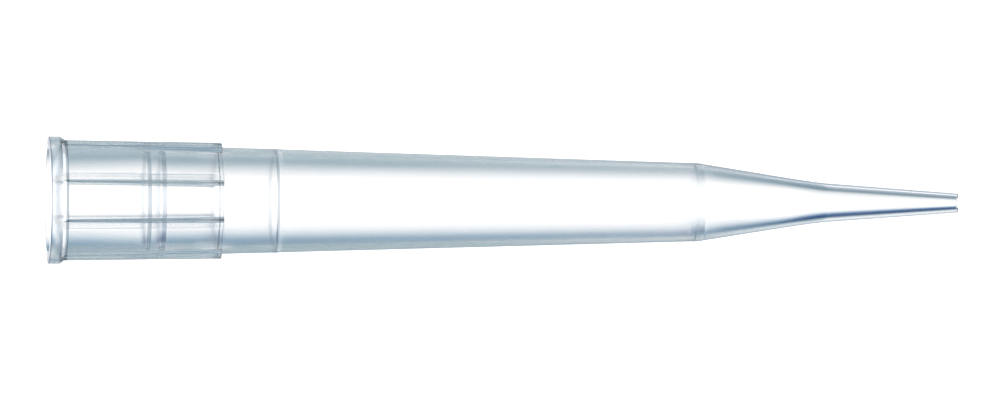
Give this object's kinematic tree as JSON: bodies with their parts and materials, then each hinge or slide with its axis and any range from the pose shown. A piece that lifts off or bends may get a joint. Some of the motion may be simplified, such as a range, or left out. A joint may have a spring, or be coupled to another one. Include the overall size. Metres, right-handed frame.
{
  "type": "pipette tip",
  "caption": "Clear plastic pipette tip: flanged mouth, ribbed socket, long gently tapered body and a slender open end.",
  "frame": {"origin": "centre of the mouth, in the plane of the rim the tip stands on", "axes": "+Z along the tip's axis, from the mouth towards the fine end; +X and +Y lie in the rim plane, each midway between two ribs"},
  "size_m": [0.007, 0.007, 0.051],
  "materials": {
    "clear_polypropylene": "clear, glossy, very slightly hazy, with a faint blue-grey tint in the thick of the wall"
  },
  "bodies": {
    "root": {"tip": "clear_polypropylene"}
  },
  "joints": []
}
